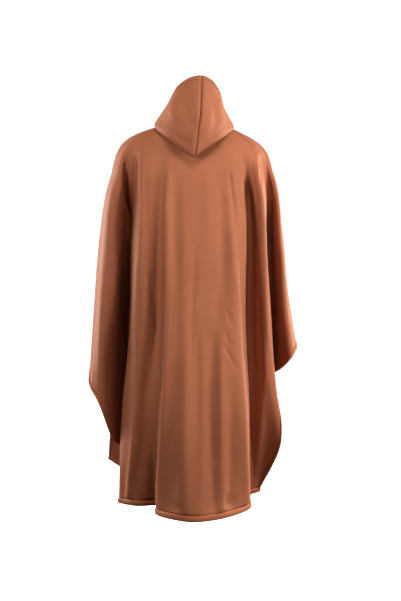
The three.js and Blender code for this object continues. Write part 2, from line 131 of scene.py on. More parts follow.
class Hanging:
    """Cloth hung along rows of points: s runs across the rows, t from the neckline to the edge."""

    corners_from = 0.82  # the share of the drop below which a corner turns sharp
    least = 1e-9

    def __init__(self, rows, stations, corners):
        self.rows = np.array(rows, float) * MM
        self.stations = np.array(stations, float)
        self.corners = np.array(corners, float)
        self.slopes = np.stack([slopes(self.stations, row) for row in self.rows])
        apart = np.linalg.norm(np.diff(self.rows, axis=0), axis=-1)[:, 1:].mean(1) / MM
        self.knots = np.concatenate([[0], np.cumsum(np.sqrt(apart))])

    def on_row(self, row, t):
        row = np.clip(row, 0, len(self.rows) - 1)
        i = np.clip(np.searchsorted(self.stations, t, "right") - 1, 0, len(self.stations) - 2)
        h = self.stations[i + 1] - self.stations[i]
        u = ((t - self.stations[i]) / h)[..., None]
        return bend(h[..., None], u, self.rows[row, i], self.slopes[row, i],
                    self.rows[row, i + 1], self.slopes[row, i + 1])

    def at(self, s, t):
        s, t = np.broadcast_arrays(np.asarray(s, float), np.clip(np.asarray(t, float), 0, 1))
        k, last = self.knots, len(self.knots) - 1
        i = np.clip(np.searchsorted(k, s, "right") - 1, 0, last - 1)
        before, start, end, after = (self.on_row(i + n, t) for n in (-1, 0, 1, 2))
        h = (k[i + 1] - k[i])[..., None]
        h_before = (k[i] - k[np.maximum(i - 1, 0)])[..., None]
        h_after = (k[np.minimum(i + 2, last)] - k[i + 1])[..., None]
        chord = (end - start) / h
        come = (start - before) / np.maximum(h_before, self.least)
        go = (after - end) / np.maximum(h_after, self.least)
        at_start = come + (chord - come) * h_before / (h_before + h)
        at_end = chord + (go - chord) * h / (h + h_after)
        turn = ease(self.corners_from, 1, t)
        m_start = at_start + (chord - at_start) * (turn * self.corners[i])[..., None]
        m_end = at_end + (chord - at_end) * (turn * self.corners[i + 1])[..., None]
        m_start = np.where((i == 0)[..., None], 1.5 * chord - 0.5 * at_end, m_start)
        m_end = np.where((i + 1 == last)[..., None], 1.5 * chord - 0.5 * at_start, m_end)
        return bend(h, ((s - k[i]) / h[..., 0])[..., None], start, m_start, end, m_end)

    def across(self, s, t, step=0.002):
        low, high = np.maximum(s - step, 0), np.minimum(s + step, self.knots[-1])
        return unit(self.at(high, t) - self.at(low, t))

    def down(self, s, t, step=0.002):
        t = np.asarray(t, float)
        return unit(self.at(s, np.minimum(t + step, 1)) - self.at(s, np.maximum(t - step, 0)))

    def normal(self, s, t):
        return unit(np.cross(self.down(s, t), self.across(s, t)))


def cape_row(fold):
    _, angle, shoulder, blade, waist, thigh, hem = fold
    levels = [(*xy, hem[2] * share) for xy, share in zip((blade, waist, thigh), SHARE_OF_DROP.values())]
    return [neckline(angle), shoulder, *levels, hem]


cape = Hanging([cape_row(f) for f in CAPE_FOLDS], list(STATION.values()),
               [f[0].endswith("corner") for f in CAPE_FOLDS])
FOLD = {f[0]: i for i, f in enumerate(CAPE_FOLDS)}
HEM_WIDTH, SIDE_WIDTH, TUCK = 20 * MM, 11 * MM, 3 * MM


def on_bottom(s):
    """True along the bottom edges, which run between the corners and out to the front openings."""
    front_left, back_left, back_right, front_right = cape.knots[cape.corners > 0]
    return (s <= front_left) | ((s >= back_left) & (s <= back_right)) | (s >= front_right)


def edge_round(s, side=0, reach=0.02):
    """Direction round the lower edge; side -1 or 1 looks only one way, at a corner."""
    return unit(cape.at(s + (0 if side < 0 else reach), 1.0)
                - cape.at(s - (0 if side > 0 else reach), 1.0))


def strip_share(s, width, side=0, last=0.01, least_sine=0.4):
    """Share of the fold's length that a strip of this width takes up at the lower edge."""
    length = np.linalg.norm(cape.at(s, 1.0) - cape.at(s, 1 - last), axis=-1) / last
    sine = np.linalg.norm(np.cross(edge_round(s, side), cape.down(s, 1.0)), axis=-1)
    return width / (length * np.maximum(sine, least_sine))


def columns(hanging, first, last, pitch, least=3):
    """Places across the cloth about pitch apart, with one on every fold."""
    k = hanging.knots
    out = []
    for i in range(first, last):
        span = np.linalg.norm(hanging.rows[i + 1, 2:] - hanging.rows[i, 2:], axis=-1).mean()
        count = max(least, round(span / pitch))
        out.extend(k[i] + (k[i + 1] - k[i]) * np.arange(count) / count)
    return np.array([*out, k[last]])


def soft_swells(u, v, wide, long, seed, cells=64):
    """Random swells of the cloth about wide by long metres, from -1 to 1."""
    grid = np.random.default_rng(seed).uniform(-1, 1, (cells, cells))
    a, b = u / wide, v / long
    i, j = np.floor(a).astype(int), np.floor(b).astype(int)
    x, y = ease(0, 1, a - i), ease(0, 1, b - j)
    corner = lambda di, dj: grid[(i + di) % cells, (j + dj) % cells]
    low = corner(0, 0) * (1 - x) + corner(1, 0) * x
    return low * (1 - y) + (corner(0, 1) * (1 - x) + corner(1, 1) * x) * y


def press(across, z, creases, steps=120):
    """Rise of the listed creases: (width before, width after, ((z, across, rise), ...)), in mm."""
    total = np.zeros_like(z)
    for before, after, line in creases:
        z_mm, middle_mm, rise_mm = np.array(sorted(line), float).T
        fine = np.linspace(z_mm[0], z_mm[-1], steps)
        i = np.clip(np.searchsorted(z_mm, fine, "right") - 1, 0, len(z_mm) - 2)
        h = z_mm[i + 1] - z_mm[i]
        u = (fine - z_mm[i]) / h
        m = slopes(z_mm, middle_mm)
        middle = bend(h, u, middle_mm[i], m[i], middle_mm[i + 1], m[i + 1])
        rise = rise_mm[i] + (rise_mm[i + 1] - rise_mm[i]) * ease(0, 1, u)
        d = across / MM - np.interp(z / MM, fine, middle)
        height = np.interp(z / MM, fine, rise, left=0, right=0)
        total += height * np.exp(-(d / np.where(d < 0, before, after)) ** 2)
    return total * MM


def cloth_lengths(points):
    """How far each point lies across the cloth and down it, measured on the cloth."""
    step_across = np.linalg.norm(np.diff(points, axis=0), axis=-1)
    step_down = np.linalg.norm(np.diff(points, axis=1), axis=-1)
    u, v = np.zeros((2, *points.shape[:2]))
    u[1:] = np.cumsum(np.broadcast_to(step_across.mean(1, keepdims=True), step_across.shape), axis=0)
    v[:, 1:] = np.cumsum(step_down, axis=1)
    return np.stack([u, v, np.zeros_like(u)], axis=-1)


def grid_normals(points):
    across, down = np.gradient(points, axis=0), np.gradient(points, axis=1)
    return unit(np.cross(down, across))


def add_mesh(name, vertices, faces, lengths, finish):
    """One piece. Lengths say where each point lies on the flat cloth."""
    mesh = bpy.data.meshes.new(name)
    mesh.from_pydata(vertices.tolist(), [], faces.tolist() if isinstance(faces, np.ndarray) else faces)
    mesh.validate()
    attribute = mesh.attributes.new("on_cloth", "FLOAT_VECTOR", "POINT")
    attribute.data.foreach_set("vector", np.asarray(lengths, np.float32).ravel())
    mesh.shade_smooth()
    mesh.materials.append(finish)
    piece = bpy.data.objects.new(name, mesh)
    bpy.context.scene.collection.objects.link(piece)
    return piece


def add_cloth(name, points, half, finish):
    """A closed piece of cloth, half its thickness to each side of a grid of points."""
    n = grid_normals(points)
    half = np.broadcast_to(half, points.shape[:2])[..., None]
    across, down = points.shape[:2]
    vertices = np.concatenate([(points + n * half).reshape(-1, 3), (points - n * half).reshape(-1, 3)])
    number = np.arange(across * down).reshape(across, down)
    other = number + across * down

    def quads(a, b, c, d):
        return np.stack([x.ravel() for x in (a, b, c, d)], axis=-1)

    faces = np.concatenate([
        quads(number[:-1, :-1], number[:-1, 1:], number[1:, 1:], number[1:, :-1]),
        quads(other[:-1, :-1], other[1:, :-1], other[1:, 1:], other[:-1, 1:]),
        quads(number[:-1, 0], number[1:, 0], other[1:, 0], other[:-1, 0]),
        quads(number[1:, -1], number[:-1, -1], other[:-1, -1], other[1:, -1]),
        quads(number[0, 1:], number[0, :-1], other[0, :-1], other[0, 1:]),
        quads(number[-1, :-1], number[-1, 1:], other[-1, 1:], other[-1, :-1]),
    ])
    lengths = cloth_lengths(points).reshape(-1, 3)
    inside = lengths + [0, 0, 1]
    return add_mesh(name, vertices, faces, np.concatenate([lengths, inside]), finish)


class Shade:
    """A shader value. Arithmetic on it adds Math nodes to its finish."""

    def __init__(self, finish, socket):
        self.finish, self.socket = finish, socket

    def maths(self, operation, first, second):
        return self.finish.node("ShaderNodeMath", {"operation": operation}, {0: first, 1: second})

    def __add__(self, other):
        return self.maths("ADD", self, other)

    def __sub__(self, other):
        return self.maths("SUBTRACT", self, other)

    def __rsub__(self, other):
        return self.maths("SUBTRACT", other, self)

    def __mul__(self, other):
        return self.maths("MULTIPLY", self, other)

    __radd__ = __add__
    __rmul__ = __mul__


class Finish:
    """A procedural material for one kind of cloth or thread."""

    def __init__(self, name, **constants):
        self.material = bpy.data.materials.new(name)
        self.material.use_nodes = True
        self.tree = self.material.node_tree
        self.tree.nodes.clear()
        output = self.tree.nodes.new("ShaderNodeOutputMaterial")
        self.shader = self.tree.nodes.new("ShaderNodeBsdfPrincipled")
        self.tree.links.new(self.shader.outputs[0], output.inputs["Surface"])
        for key, value in constants.items():
            self.shader.inputs[key.replace("_", " ")].default_value = value

    def node(self, kind, settings=None, sockets=None, output=0):
        """Any node: its settings first, then the values or links of its sockets."""
        made = self.tree.nodes.new(kind)
        for key, value in (settings or {}).items():
            setattr(made, key, value)
        for key, value in (sockets or {}).items():
            self.feed(made.inputs[key], value)
        return Shade(self, made.outputs[output])

    def feed(self, socket, value):
        if isinstance(value, Shade):
            self.tree.links.new(value.socket, socket)
        else:
            socket.default_value = value

    def noise(self, place, stretch, detail=2.0, rough=0.5):
        """Noise from -0.5 to 0.5, stretched by scales across, down and through the cloth."""
        spot = self.node("ShaderNodeVectorMath", {"operation": "MULTIPLY"}, {0: place, 1: stretch})
        return self.node("ShaderNodeTexNoise", {}, {
            "Vector": spot, "Scale": 1.0, "Detail": detail, "Roughness": rough}) - 0.5

    def colour(self, factor, dark, light):
        return self.node("ShaderNodeMix", {"data_type": "RGBA"}, {
            "Factor": factor, 6: (*dark, 1), 7: (*light, 1)}, output=2)

    def surface(self, colour, roughness, bumps):
        """Sets what changes over the cloth: its colour, its roughness and its small relief."""
        self.feed(self.shader.inputs["Base Color"], colour)
        self.feed(self.shader.inputs["Roughness"], roughness)
        normal = None
        for height, deep in bumps:
            sockets = {"Height": height, "Distance": deep, "Strength": 1.0}
            if normal is not None:
                sockets["Normal"] = normal
            normal = self.node("ShaderNodeBump", {}, sockets)
        self.feed(self.shader.inputs["Normal"], normal)
        return self.material


def knit_finish(name, dark, light, courses, wales):
    """Bonded knit: crosswise courses and fine wales on its face, a brushed fleece inside."""
    finish = Finish(name, Specular_IOR_Level=0.16, Sheen_Weight=0.08, Sheen_Roughness=0.5,
                    Sheen_Tint=(1.0, 0.72, 0.55, 1))
    place = finish.node("ShaderNodeAttribute", {"attribute_name": "on_cloth"}, output=1)
    inside = finish.node("ShaderNodeSeparateXYZ", {}, {0: place}, output=2)
    streak = finish.noise(place, (9, 210, 1), detail=3)
    slub = finish.noise(place, (60, 900, 1), detail=2)
    dye = finish.noise(place, (3.2, 2.1, 1), detail=3, rough=0.6)
    nap = finish.noise(place, (420, 420, 1), detail=2)
    fleece = finish.noise(place, (170, 150, 1), detail=4, rough=0.65)
    wave = {"bands_direction": "Y", "wave_profile": "SIN"}
    course = finish.node("ShaderNodeTexWave", wave, {"Vector": place, "Scale": courses, "Distortion": 1.2,
                                                     "Detail": 2.0, "Detail Scale": 1.5})
    wale = finish.node("ShaderNodeTexWave", {**wave, "bands_direction": "X"}, {
        "Vector": place, "Scale": wales, "Distortion": 0.6, "Detail": 1.0})
    face = 1 - inside
    # the dye lies unevenly, streaks and slubs show on the face, and the fleece is mottled
    shade = (0.5 + dye * 0.5 + nap * 0.25 + face * (streak * 0.5 + slub * 0.25 + (course - 0.5) * 0.1)
             + inside * (fleece * 0.7 - 0.08))
    rough = 0.68 + nap * 0.14 + streak * 0.1 + dye * 0.08 + inside * 0.16
    return finish.surface(finish.colour(shade, dark, light), rough, [
        (face * (course * 0.6 + wale * 0.4), 0.12 * MM), (face * (streak + slub * 0.5), 0.5 * MM),
        (nap + inside * fleece * 4.0, 0.25 * MM)])


bonded_knit = knit_finish("bonded_knit", (0.3, 0.102, 0.047), (0.44, 0.167, 0.088), courses=95, wales=120)

# width before, width after, ((z, x, rise), ...): one line each, from the left side to the right
BACK_CREASES = [
    # left shoulder: two troughs with a small ridge between them run together into the hollow
    (7, 7, ((-95, -243, 0), (-150, -242, -14), (-250, -238, -16), (-330, -231, -8), (-420, -226, 0))),
    (8, 7, ((-90, -204, 0), (-145, -204, -14), (-250, -210, -18), (-330, -219, -10), (-400, -226, 0))),
    (7, 7, ((-90, -222, 0), (-145, -222, 8), (-230, -225, 9), (-310, -227, 0))),
    (9, 7, ((-130, -262, 0), (-210, -258, 5), (-330, -262, 7), (-480, -270, 7), (-660, -282, 4),
            (-800, -290, 0))),
    (10, 14, ((-90, -184, 0), (-160, -184, 2), (-255, -180, 2.5), (-390, -182, 4), (-526, -196, 5),
              (-700, -206, 5), (-860, -198, 4), (-1000, -196, 0))),
    (12, 10, ((-110, -164, 0), (-220, -166, -4), (-330, -164, -4), (-420, -162, 0))),
    # what hangs below the left flute
    (9, 12, ((-900, -198, 0), (-1020, -206, 6), (-1150, -216, 9), (-1260, -230, 7), (-1345, -238, 3))),
    (9, 9, ((-1130, -236, 0), (-1230, -246, -4), (-1340, -252, -4))),
    (16, 14, ((-780, -170, 0), (-936, -172, -3), (-1100, -178, -4), (-1240, -204, -5), (-1345, -212, -3))),
    (10, 9, ((-1060, -156, 0), (-1160, -160, 3), (-1240, -164, 5), (-1345, -168, 4))),
    # left of the middle: the hollow fills a little, then a sharp line and a crisp ridge
    (26, 12, ((-200, -134, 0), (-300, -138, 3), (-390, -142, 6), (-526, -148, 7), (-662, -150, 7),
              (-798, -150, 5), (-936, -156, 2), (-1072, -160, 0))),
    (10, 3.5, ((-180, -104, 0), (-255, -109, -5), (-590, -114, -7), (-764, -119, -7), (-900, -127, -5),
               (-1040, -137, -3), (-1150, -142, 0))),
    (4, 14, ((-150, -90, 0), (-190, -93, 5), (-430, -94, 8), (-760, -99, 8), (-900, -104, 8),
             (-1040, -112, 8), (-1211, -124, 8), (-1340, -133, 4))),
    # a short sharp tuck beside it
    (9, 4, ((-480, -150, 0), (-540, -147, -4), (-600, -143, -6), (-670, -137, -6), (-740, -132, 0))),
    # the middle: faint long lines, and soft drag from the shoulders
    (12, 5, ((-380, 0, 0), (-470, 2, -2.5), (-640, -6, -3), (-800, -10, -2), (-900, -12, 0))),
    (20, 16, ((-130, -60, 0), (-260, -66, -4), (-430, -62, -4), (-600, -58, 0))),
    (16, 22, ((-240, -30, 0), (-400, -34, 3), (-620, -38, 3), (-800, -44, 0))),
    (24, 20, ((-120, 40, 0), (-300, 44, 3), (-520, 40, 0))),
    (16, 14, ((-120, 84, 0), (-260, 92, -3), (-460, 96, -3), (-620, 98, 0))),
    # lower middle: soft hollows and ridges of uneven length
    (24, 22, ((-700, -62, 0), (-880, -70, -4), (-1080, -78, -7), (-1240, -80, -7), (-1345, -82, -3))),
    (20, 18, ((-640, -22, 0), (-860, -30, 5), (-1100, -36, 6), (-1345, -38, 2))),
    (22, 14, ((-620, 4, 0), (-800, 8, -5), (-960, 10, -6), (-1180, 6, -4), (-1345, 4, 0))),
    (36, 12, ((-640, 60, 0), (-800, 62, -7), (-960, 64, -11), (-1120, 66, -12), (-1260, 66, -9),
              (-1345, 64, -3))),
    (8, 20, ((-660, 88, 0), (-800, 88, 6), (-960, 88, 10), (-1180, 88, 11), (-1345, 88, 5))),
    (13, 12, ((-860, 122, 0), (-1000, 124, -5), (-1160, 124, -8), (-1280, 122, -7), (-1345, 120, -3))),
    # right flute of the middle: its outer edge stays crisp all the way to the hem
    (20, 5, ((-170, 116, 0), (-300, 130, 4), (-390, 134, 9), (-526, 142, 9), (-662, 150, 11),
             (-798, 156, 12), (-936, 164, 12), (-1072, 170, 12), (-1211, 177, 11), (-1340, 184, 5))),
    (13, 13, ((-150, 176, 0), (-255, 184, -10), (-390, 188, -12), (-600, 190, -12), (-798, 194, -13),
              (-1000, 198, -12), (-1200, 204, -9), (-1330, 206, -2))),
    # right shoulder: a fine double line, and a small tuck at the top of the right hollow
    (5, 4, ((-140, 120, 0), (-190, 122, -4), (-300, 131, -5), (-420, 136, -4), (-560, 144, 0))),
    (5, 6, ((-140, 130, 0), (-190, 134, 3), (-260, 143, 4), (-340, 148, 0))),
    (8, 8, ((-170, 152, 0), (-230, 158, 4), (-300, 164, 0))),
    (8, 7, ((-95, 226, 0), (-130, 230, -9), (-170, 229, -8), (-210, 226, 0))),
    (9, 7, ((-150, 214, 0), (-240, 228, 5), (-420, 238, 7), (-640, 248, 6), (-840, 260, 0))),
    (7, 13, ((-140, 244, 0), (-220, 250, -11), (-330, 256, -14), (-460, 262, -12), (-620, 268, 0))),
    # slanted drag lines
    (7, 5, ((-735, 92, 0), (-770, 112, -3.2), (-810, 132, -3.4), (-850, 150, 0))),
    (6, 5, ((-690, 96, 0), (-720, 110, -2.2), (-750, 122, 0))),
    (6, 5, ((-610, 100, 0), (-655, 118, -3), (-700, 138, 0))),
    (7, 5, ((-560, 204, 0), (-590, 216, -2.6), (-630, 238, 0))),
    (7, 6, ((-800, 196, 0), (-840, 212, -3), (-890, 236, 0))),
    (7, 6, ((-600, -184, 0), (-570, -168, -3), (-545, -150, 0))),
    (6, 5, ((-500, -186, 0), (-515, -170, -2), (-530, -158, 0))),
    # dimples above the hem
    (5, 5, ((-1128, 40, 0), (-1150, 50, -2.5), (-1166, 62, -3), (-1174, 80, 0))),
    (8, 8, ((-1130, 60, 0), (-1160, 66, 2), (-1190, 68, 0))),
    (9, 10, ((-1235, 100, 0), (-1275, 106, -6), (-1320, 110, 0))),
    (8, 8, ((-1250, 134, 0), (-1285, 132, -4), (-1325, 134, 0))),
    (16, 16, ((-1270, -60, 0), (-1300, -58, -4), (-1330, -56, 0))),
]
# the same on the wings, which face sideways: (z, y, rise)
LEFT_WING_CREASES = [
    (18, 16, ((-160, -30, 0), (-320, -34, -4), (-560, -30, -5), (-760, -26, 0))),
    (16, 20, ((-240, 12, 0), (-420, 20, 4), (-700, 26, 5), (-900, 30, 0))),
    (14, 12, ((-380, 52, 0), (-560, 56, -5), (-760, 62, -6), (-900, 70, 0))),
    (10, 9, ((-700, -8, 0), (-800, -14, -4), (-900, -16, -4), (-960, -14, 0))),
    (9, 8, ((-760, -46, 0), (-850, -44, 3), (-940, -40, 3), (-1000, -36, 0))),
    (8, 8, ((-840, 14, 0), (-880, 4, -3), (-920, -10, 0))),
]
RIGHT_WING_CREASES = [
    (16, 18, ((-150, -20, 0), (-300, -24, -4), (-500, -20, -5), (-680, -18, 0))),
    (18, 16, ((-220, 24, 0), (-400, 30, 4), (-640, 40, 5), (-780, 48, 0))),
    (14, 12, ((-320, 60, 0), (-480, 66, -5), (-660, 76, -6), (-800, 90, 0))),
    (9, 8, ((-600, 4, 0), (-690, 0, -4), (-760, -4, -3), (-800, -6, 0))),
]


FACES_SQUARE, FACES_SIDEWAYS = (0.05, 0.5), (0.3, 0.8)
FLAT_BY_NECK = (0.02, 0.12)


def cape_lift(points, normals, creases_behind, creases_before, creases_left, creases_right, seed):
    """Height of all the creases at each point of a cape panel, by the way the cloth faces there."""
    x, y, z = (points[..., i] for i in range(3))
    lift = press(x, z, creases_behind) * ease(*FACES_SQUARE, -normals[..., 1])
    lift += press(x, z, creases_before) * ease(*FACES_SQUARE, normals[..., 1])
    lift += press(y, z, creases_left) * ease(*FACES_SIDEWAYS, -normals[..., 0]) * (x < 0)
    lift += press(y, z, creases_right) * ease(*FACES_SIDEWAYS, normals[..., 0]) * (x > 0)
    u, v, _ = np.moveaxis(cloth_lengths(points), -1, 0)
    broad, small = soft_swells(u, v, 0.075, 0.34, seed), soft_swells(u, v, 0.028, 0.11, seed + 1)
    return (lift + (1.3 * broad + 0.5 * small) * MM) * ease(*FLAT_BY_NECK, v)


# rows and columns of points crowd where the cloth is sewn
BESIDE_SEAM = np.array([0.12, 0.3, 0.55])
ABOVE_EDGE = [0.9895, 0.9915, 0.9935, 0.9955, 0.997, 0.9985, 1]
ROWS_TO, ROWS_CROWD, PANEL_PITCH = 0.988, 1.15, 8 * MM
# how much deeper the panel goes under its bands near a corner
CORNER_DEEPER, CORNER_SPAN = 0.5, 0.9
# creases flatten over the last of the drop, and the stitched edge puckers and draws in
CREASES_KEPT, CREASES_FLATTEN = 0.1, 18 * MM
PUCKER = {"wide": 0.013, "long": 0.05, "rise": 1.1, "reach": 22 * MM, "from": 2 * MM, "full": 8 * MM}
PINCH = {"edge": 4 * MM, "seam": 2.2 * MM, "deep": 0.9, "thinner": 0.5}
EDGE_GROOVE = {"at": 5 * MM, "wide": 3.5 * MM, "deep": 2.2}


def cape_panel(name, first, last, rows, *creases, seed):
    """Cuts, hangs and creases one panel between two of the folds."""
    s = columns(cape, FOLD[first], FOLD[last], PANEL_PITCH)
    s = np.concatenate([s[:1], s[0] + BESIDE_SEAM, s[1:-1], s[-1] - BESIDE_SEAM[::-1], s[-1:]])
    width = np.where(on_bottom(s), HEM_WIDTH, SIDE_WIDTH) - TUCK
    for corner in cape.knots[cape.corners > 0]:
        width = width * (1 - CORNER_DEEPER * np.exp(-(((s - corner) / CORNER_SPAN) ** 2)))
    end = 1 - strip_share(s, width)
    share = (np.arange(rows) / rows) ** ROWS_CROWD * ROWS_TO
    t = end[:, None] * np.concatenate([share, ABOVE_EDGE])
    points = cape.at(s[:, None], t)
    points[0] += cape.across(s[:1], t[0]) * (SEAM_GAP / 2)
    points[-1] -= cape.across(s[-1:], t[-1]) * (SEAM_GAP / 2)
    lift = cape_lift(points, cape.normal(s[:, None], t), *creases, seed)
    u, v, _ = np.moveaxis(cloth_lengths(points), -1, 0)
    to_edge = v[:, -1:] - v
    lift *= CREASES_KEPT + (1 - CREASES_KEPT) * ease(0, CREASES_FLATTEN, to_edge)
    pucker = soft_swells(u, to_edge, PUCKER["wide"], PUCKER["long"], seed + 2)
    pucker *= np.exp(-to_edge / PUCKER["reach"])
    lift += pucker * PUCKER["rise"] * MM * ease(PUCKER["from"], PUCKER["full"], to_edge)
    to_seam = np.minimum(u, u[-1:] - u)
    pinch = np.maximum(np.exp(-((to_edge / PINCH["edge"]) ** 2)), np.exp(-((to_seam / PINCH["seam"]) ** 2)))
    groove = np.exp(-(((to_edge - EDGE_GROOVE["at"]) / EDGE_GROOVE["wide"]) ** 2))
    drawn_in = (PINCH["deep"] * pinch + EDGE_GROOVE["deep"] * groove) * MM * ease(0, 0.1, v)
    points += grid_normals(points) * (lift - drawn_in)[..., None]
    panel = add_cloth(name, points, CLOTH_THICK / 2 * (1 - PINCH["thinner"] * pinch), bonded_knit)
    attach(panel, "root")
    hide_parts(name)
    return panel


back_panel = cape_panel("back_panel", "left seam", "right seam", 165, BACK_CREASES, [],
                        LEFT_WING_CREASES, RIGHT_WING_CREASES, seed=11)

# ---------------------------------------------------------------- front panels
# Two narrower pieces of the same cloth. They meet the back panel at the shoulders and down
# the fold of each wing, and hang open down the middle with no fastening.
FRONT_LEFT_CREASES = [
    (14, 12, ((-150, -58, 0), (-330, -64, -4), (-600, -74, -6), (-900, -84, -6), (-1200, -92, -3),
              (-1330, -96, 0))),
    (12, 16, ((-180, -108, 0), (-420, -116, 4), (-760, -134, 6), (-1100, -150, 5), (-1320, -164, 0))),
    (9, 8, ((-140, -148, 0), (-240, -160, -6), (-380, -176, -8), (-520, -188, -4), (-640, -198, 0))),
    (12, 10, ((-260, -186, 0), (-480, -206, 5), (-760, -230, 6), (-1000, -262, 4), (-1180, -290, 0))),
    (7, 8, ((-100, -196, 0), (-160, -208, -6), (-240, -222, -6), (-330, -232, 0))),
    (10, 12, ((-640, -236, 0), (-820, -240, -5), (-1000, -262, -5), (-1150, -284, 0))),
    (16, 14, ((-700, -52, 0), (-900, -58, 3), (-1150, -62, 5), (-1330, -66, 2))),
    (8, 6, ((-560, -120, 0), (-610, -136, -2), (-670, -154, 0))),
    (7, 6, ((-820, -150, 0), (-860, -166, -2), (-910, -186, 0))),
]
FRONT_RIGHT_CREASES = [
    (12, 14, ((-150, 56, 0), (-340, 62, -4), (-640, 72, -6), (-940, 82, -6), (-1240, 90, -3),
              (-1330, 92, 0))),
    (15, 12, ((-200, 104, 0), (-460, 116, 4), (-800, 130, 6), (-1120, 142, 5), (-1310, 150, 0))),
    (8, 9, ((-140, 140, 0), (-250, 152, -6), (-400, 164, -7), (-560, 176, 0))),
    (10, 12, ((-250, 176, 0), (-460, 194, 5), (-740, 216, 6), (-980, 240, 4), (-1160, 262, 0))),
    (8, 7, ((-100, 188, 0), (-170, 196, -6), (-260, 206, -5), (-340, 214, 0))),
    (12, 10, ((-620, 222, 0), (-800, 226, -5), (-980, 240, -5), (-1140, 262, 0))),
    (14, 16, ((-760, 50, 0), (-940, 56, 3), (-1160, 62, 5), (-1310, 66, 2))),
    (7, 6, ((-620, 124, 0), (-660, 140, -2), (-720, 160, 0))),
]
front_left_panel = cape_panel("front_left_panel", "front left opening", "left seam", 150,
                              [], FRONT_LEFT_CREASES, LEFT_WING_CREASES, [], seed=23)
front_right_panel = cape_panel("front_right_panel", "right seam", "front right opening", 150,
                               [], FRONT_RIGHT_CREASES, [], RIGHT_WING_CREASES, seed=37)

# ---------------------------------------------------------------- hood
# Two mirrored halves joined by one seam over the crown, worn down: the cloth rolls up off
# the neckline, hangs to a soft fold behind and comes back up to its turned, topstitched rim.
HOOD_STATIONS = (0, 0.1, 0.3, 0.5, 0.76, 1)
# neck angle, roll x y z, under, fold, outside, rim
HOOD_LINES = [
    (-164, (-27, 90, -52), (-29, 95, -44), (-31, 99, -36), (-31, 102, -27), (-29, 103, -18)),
    (-128, (-78, 60, -8), (-90, 72, -6), (-104, 80, -4), (-100, 72, 22), (-84, 60, 48)),
    (-106, (-97, 24, 28), (-108, 18, 30), (-121, 4, 27), (-107, 4, 54), (-88, 8, 84)),
    (-82, (-98, -10, 34), (-116, -34, 28), (-138, -70, 4), (-110, -62, 54), (-78, -42, 106)),
    (-52, (-75, -62, 38), (-84, -112, 20), (-88, -150, -46), (-82, -142, 52), (-54, -84, 143)),
    (-22, (-32, -92, 40), (-34, -140, 6), (-36, -178, -90), (-28, -184, 44), (-12, -102, 168)),
    (0, (0, -97, 40), (-1, -146, 2), (0, -186, -106), (21, -196, 44), (25, -107, 173)),
    (22, (32, -92, 40), (34, -140, 6), (34, -178, -82), (51, -183, 46), (56, -98, 160)),
    (52, (75, -62, 38), (84, -112, 18), (86, -150, -46), (90, -142, 50), (82, -78, 128)),
    (82, (98, -10, 34), (116, -34, 26), (134, -70, -3), (107, -60, 54), (90, -38, 98)),
    (106, (97, 24, 28), (108, 18, 30), (119, 4, 26), (107, 4, 52), (90, 10, 77)),
    (128, (78, 60, -8), (90, 72, -6), (102, 80, -6), (100, 72, 18), (84, 60, 42)),
    (164, (27, 90, -52), (29, 95, -44), (31, 99, -36), (31, 102, -27), (29, 103, -20)),
]
HOOD_CREASES = [
    (18, 16, ((135, -18, 0), (95, -24, -5), (50, -26, -7), (0, -24, -4), (-40, -20, 0))),
    (16, 16, ((60, 46, 0), (20, 44, 5), (-20, 38, 6), (-60, 30, 0))),
    (14, 14, ((110, -64, 0), (70, -72, 3), (30, -76, 4), (-10, -70, 0))),
    (7, 6, ((46, -92, 0), (30, -86, -3), (12, -76, -3), (-6, -62, 0))),
    (10, 12, ((20, -110, 0), (6, -104, 3), (-14, -88, 3), (-34, -68, 0))),
    (9, 8, ((60, 8, 0), (30, 2, -3), (0, -4, -5), (-20, -6, 0))),
    (12, 12, ((120, 60, 0), (70, 68, -3), (20, 72, -4), (-20, 66, 0))),
    (10, 9, ((44, 100, 0), (20, 96, 3), (-4, 84, 3), (-30, 66, 0))),
    (9, 8, ((24, 40, 0), (4, 34, -3), (-30, 24, -4), (-60, 14, 0))),
    (8, 8, ((-40, -28, 0), (-62, -22, -3), (-84, -12, 0))),
    # the rim's turned corner on the left shoulder, and folds along the lower edge
    (4, 5, ((34, -142, 0), (25, -130, -5), (18, -118, -4), (10, -100, 0))),
    (5, 6, ((12, -132, 0), (-8, -112, 3.5), (-32, -86, 3.5), (-58, -58, 3), (-84, -26, 0))),
    (4, 5, ((24, -122, 0), (4, -104, -2.5), (-20, -78, -3), (-46, -50, -2.5), (-72, -24, 0))),
    (5, 6, ((6, 124, 0), (-16, 100, 3), (-40, 72, 3), (-66, 42, 2.5), (-88, 16, 0))),
    (4, 5, ((20, 112, 0), (-2, 92, -2.5), (-26, 66, -2.5), (-50, 40, 0))),
    # a pinch where the centre seam bends
    (6, 5, ((18, -22, 0), (11, -8, -4), (8, 8, -5), (12, 22, 0))),
]
SEAM_LINE, SEAM_REACH, HOOD_PITCH, HOOD_TOP = 6, 3.0, 7 * MM, 0.16
BESIDE_HOOD_SEAM = SEAM_REACH * np.array([0, 0.05, 0.1, 0.16, 0.24, 0.36, 0.52, 0.72])
HOOD_ROWS = np.concatenate([np.linspace(0, 0.9, 62)[:-1], np.linspace(0.9, 0.988, 34)[:-1],
                            1 - 0.012 * np.array([1, 0.72, 0.46, 0.25, 0.1, 0])])
FOLD_FROM, RIM_FROM = 0.34, 0.985
